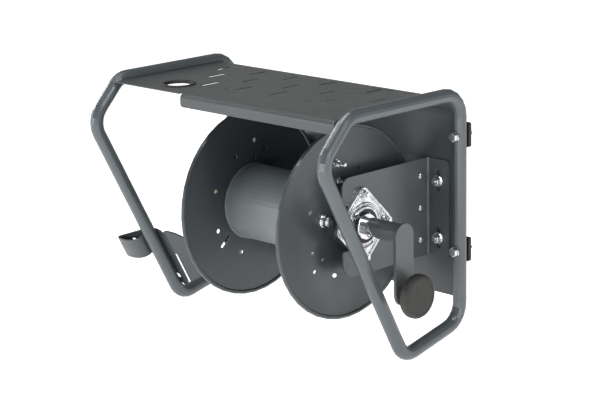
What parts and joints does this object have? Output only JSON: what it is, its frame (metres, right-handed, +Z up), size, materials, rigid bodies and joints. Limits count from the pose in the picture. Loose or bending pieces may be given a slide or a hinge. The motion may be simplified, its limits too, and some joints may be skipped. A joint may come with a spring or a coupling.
{
  "type": "wall-mounted hose reel",
  "caption": "Wall-mounted hose reel with a bent tube frame, slotted steel shelf, flanged drum on bearings and a hand crank with a round knob.",
  "frame": {"origin": "middle of the four wall fixings, in the wall plane", "axes": "+X along the axle towards the crank, +Y into the wall, +Z up"},
  "size_m": [0.718, 0.3881, 0.4672],
  "materials": {
    "frame_paint": "satin slate grey powder coat",
    "shelf_paint": "satin grey powder coat",
    "zinc": "bright zinc plate",
    "rubber": "black moulded rubber",
    "knob_plastic": "matte dark brown grey",
    "brass": "turned brass"
  },
  "bodies": {
    "frame": {"shelf_panel": "shelf_paint", "hole_grommet": "rubber", "lance_holder": "frame_paint", "frame_loop_right": "frame_paint", "bracket_right": "frame_paint", "stiffener_right": "frame_paint", "bearing_housing_right": "zinc", "bearing_seal_right": "rubber", "rivet_upper_right": "zinc", "rivet_middle_right": "zinc", "rivet_lower_right": "zinc", "bracket_bolt_upper_right": "zinc", "bracket_bolt_lower_right": "zinc", "bearing_bolt_upper_right": "zinc", "bearing_bolt_rear_right": "zinc", "bearing_bolt_lower_right": "zinc", "wall_pad_upper_right": "rubber", "wall_bolt_upper_right": "zinc", "wall_pad_lower_right": "rubber", "wall_bolt_lower_right": "zinc", "frame_loop_left": "frame_paint", "bracket_left": "frame_paint", "stiffener_left": "frame_paint", "bearing_housing_left": "zinc", "bearing_seal_left": "rubber", "rivet_upper_left": "zinc", "rivet_middle_left": "zinc", "rivet_lower_left": "zinc", "bracket_bolt_upper_left": "zinc", "bracket_bolt_lower_left": "zinc", "bearing_bolt_upper_left": "zinc", "bearing_bolt_rear_left": "zinc", "bearing_bolt_lower_left": "zinc", "wall_pad_upper_left": "rubber", "wall_bolt_upper_left": "zinc", "wall_pad_lower_left": "rubber", "wall_bolt_lower_left": "zinc"},
    "drum": {"drum_disc_right": "frame_paint", "drum_disc_left": "frame_paint", "drum_core": "frame_paint", "drum_hub_right": "frame_paint", "drum_hub_left": "frame_paint", "axle": "zinc", "bearing_ring_right": "zinc", "bearing_ring_left": "zinc", "outlet_fitting": "zinc", "hose_clamp": "zinc", "crank_tube": "frame_paint", "crank_arm": "frame_paint", "crank_set_screw": "zinc", "knob_pin": "zinc"},
    "knob": {"crank_knob": "knob_plastic"},
    "inlet": {"inlet_swivel": "brass", "inlet_nipple": "brass"}
  },
  "joints": [
    {"name": "drum_spin", "type": "hinge", "parent": "frame", "child": "drum", "pos_m": [0, -0.203, -0.032], "axis": [1, 0, 0], "continuous": true},
    {"name": "knob_spin", "type": "hinge", "parent": "drum", "child": "knob", "pos_m": [0.35, -0.203, -0.135], "axis": [1, 0, 0], "continuous": true},
    {"name": "inlet_swivel", "type": "hinge", "parent": "drum", "child": "inlet", "pos_m": [-0.12, -0.203, -0.032], "axis": [1, 0, 0], "continuous": true}
  ]
}
